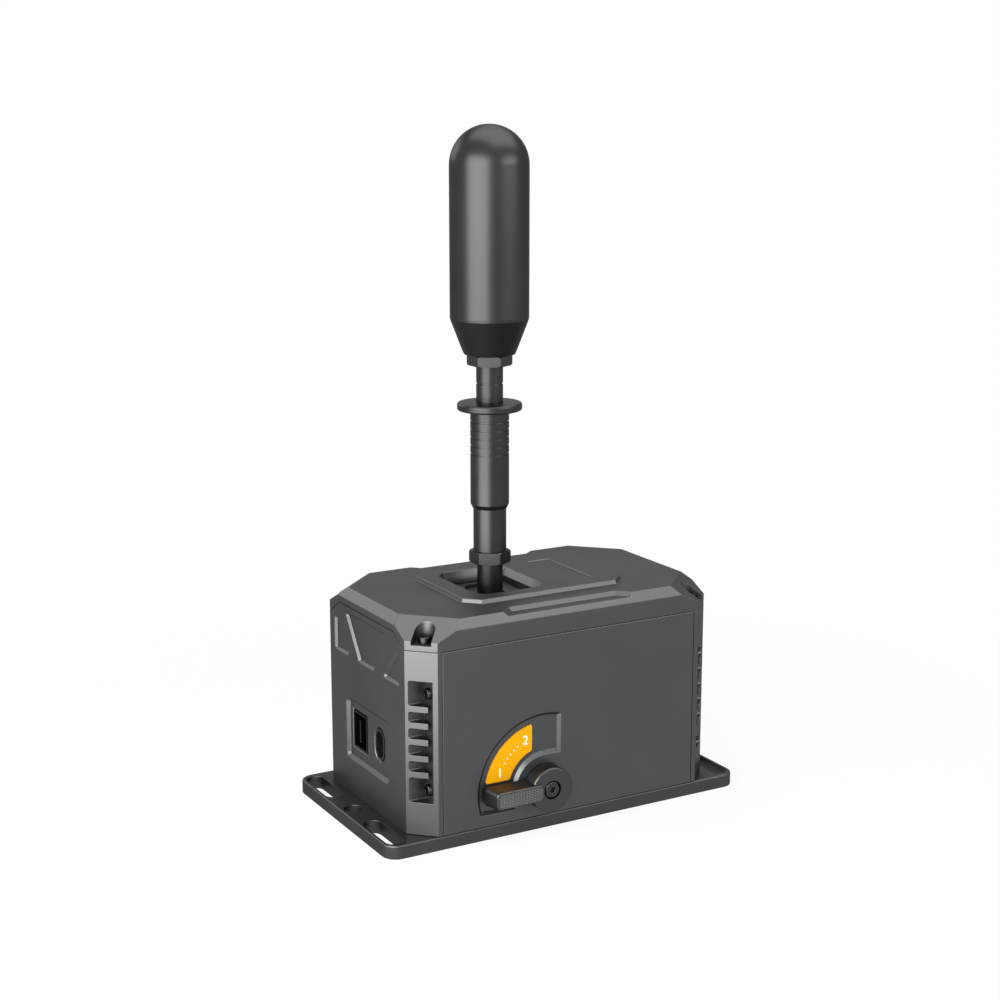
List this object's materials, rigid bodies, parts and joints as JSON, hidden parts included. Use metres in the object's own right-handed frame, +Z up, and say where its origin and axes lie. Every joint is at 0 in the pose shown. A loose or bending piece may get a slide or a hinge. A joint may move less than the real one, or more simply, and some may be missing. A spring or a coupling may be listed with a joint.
{
  "type": "gear shifter",
  "caption": "Desktop racing gear shifter: a tall lever with a lift collar in a gimbal, in a bevelled metal housing on a slotted plate, with a turning mode knob.",
  "frame": {"origin": "centre of the base plate's underside", "axes": "+X along the housing away from the sockets, -Y out of the face with the mode knob, +Z up the lever"},
  "size_m": [0.188, 0.1093, 0.3158],
  "materials": {
    "housing_grey": "satin dark grey anodised, fine blasted grain",
    "plate_black": "satin black anodised",
    "screw_black": "black oxide steel",
    "steel": "machined",
    "cast_alloy": "machined",
    "lever_black": "black oxide steel, satin",
    "knob_black": "black anodised",
    "grip_black": "satin moulded",
    "bush_brass": "turned",
    "acetal_black": "smooth sliding plastic",
    "board_green": "lacquered board",
    "socket_metal": "stamped",
    "socket_black": "moulded",
    "magnet": "plated",
    "label_yellow": "printed film"
  },
  "bodies": {
    "housing": {"aux_socket": "socket_black", "back_panel": "housing_grey", "base_plate": "plate_black", "base_screws": "screw_black", "board_posts": "bush_brass", "board_screws": "steel", "circuit_board": "board_green", "cover_screws": "screw_black", "data_socket": "socket_metal", "detent_plate": "steel", "detent_screws": "screw_black", "dial_label": "label_yellow", "dust_guide": "acetal_black", "dust_guide_screws": "screw_black", "frame_screws": "screw_black", "front_panel": "housing_grey", "gate_plate": "steel", "gate_posts": "bush_brass", "gate_screws": "screw_black", "mechanism_frame": "steel", "mode_bush": "bush_brass", "panel_screws": "screw_black", "plain_end_casting": "housing_grey", "port_end_casting": "housing_grey", "rail_screws": "screw_black", "select_bushes": "bush_brass", "select_sensor": "board_green", "select_sensor_cup": "acetal_black", "select_sensor_screws": "steel", "slide_rails": "steel", "top_cover": "housing_grey"},
    "select_yoke": {"select_yoke": "cast_alloy", "select_pins": "steel", "select_magnet": "magnet", "shift_bushes": "bush_brass", "shift_sensor_cup": "acetal_black", "shift_sensor": "board_green", "shift_sensor_screws": "steel"},
    "lever": {"lever_shaft": "lever_black", "shift_pins": "steel", "shift_magnet": "magnet", "jam_nut": "lever_black", "extension_tube": "lever_black", "collar_nut": "lever_black", "spring_stop_ring": "steel", "lift_spring": "steel", "shift_grip": "grip_black", "grip_core": "bush_brass"},
    "lift_collar": {"lift_sleeve": "lever_black", "lift_flange": "lever_black", "lockout_pin": "steel", "lockout_rod": "steel"},
    "mode_knob": {"mode_knob": "knob_black", "mode_screw": "screw_black", "mode_shaft": "steel", "mode_cam": "steel"},
    "lock_slide": {"lock_slide": "acetal_black"},
    "dust_plate_select": {"dust_plate_select": "acetal_black"},
    "dust_plate_shift": {"dust_plate_shift": "acetal_black"}
  },
  "joints": [
    {"name": "lever_select", "type": "hinge", "parent": "housing", "child": "select_yoke", "pos_m": [-0.0152, 0, 0.058], "axis": [1, 0, 0], "range_deg": [-14, 14]},
    {"name": "lever_shift", "type": "hinge", "parent": "select_yoke", "child": "lever", "pos_m": [-0.0152, 0, 0.058], "axis": [0, 1, 0], "range_deg": [-10, 10]},
    {"name": "collar_lift", "type": "slide", "parent": "lever", "child": "lift_collar", "axis": [0, 0, 1], "range_m": [0, 0.01], "stiffness_N_per_m": 600, "springref_m": -0.004, "deforming": ["lift_spring"]},
    {"name": "mode_turn", "type": "hinge", "parent": "housing", "child": "mode_knob", "pos_m": [-0.0152, -0.05, 0.021], "axis": [0, 1, 0], "range_deg": [0, 90]},
    {"name": "lock_slide_move", "type": "slide", "parent": "housing", "child": "lock_slide", "axis": [1, 0, 0], "range_m": [0, 0.0071]},
    {"name": "dust_select_slide", "type": "slide", "parent": "housing", "child": "dust_plate_select", "axis": [0, 1, 0], "range_m": [-0.0099, 0.0099]},
    {"name": "dust_shift_slide", "type": "slide", "parent": "housing", "child": "dust_plate_shift", "axis": [1, 0, 0], "range_m": [-0.0073, 0.0073]}
  ],
  "couplings": [
    {"joint": "lock_slide_move", "follows": "mode_turn", "m_per_rad": 0.0045},
    {"joint": "dust_select_slide", "follows": "lever_select", "m_per_rad": -0.04046},
    {"joint": "dust_shift_slide", "follows": "lever_shift", "m_per_rad": 0.04167}
  ]
}
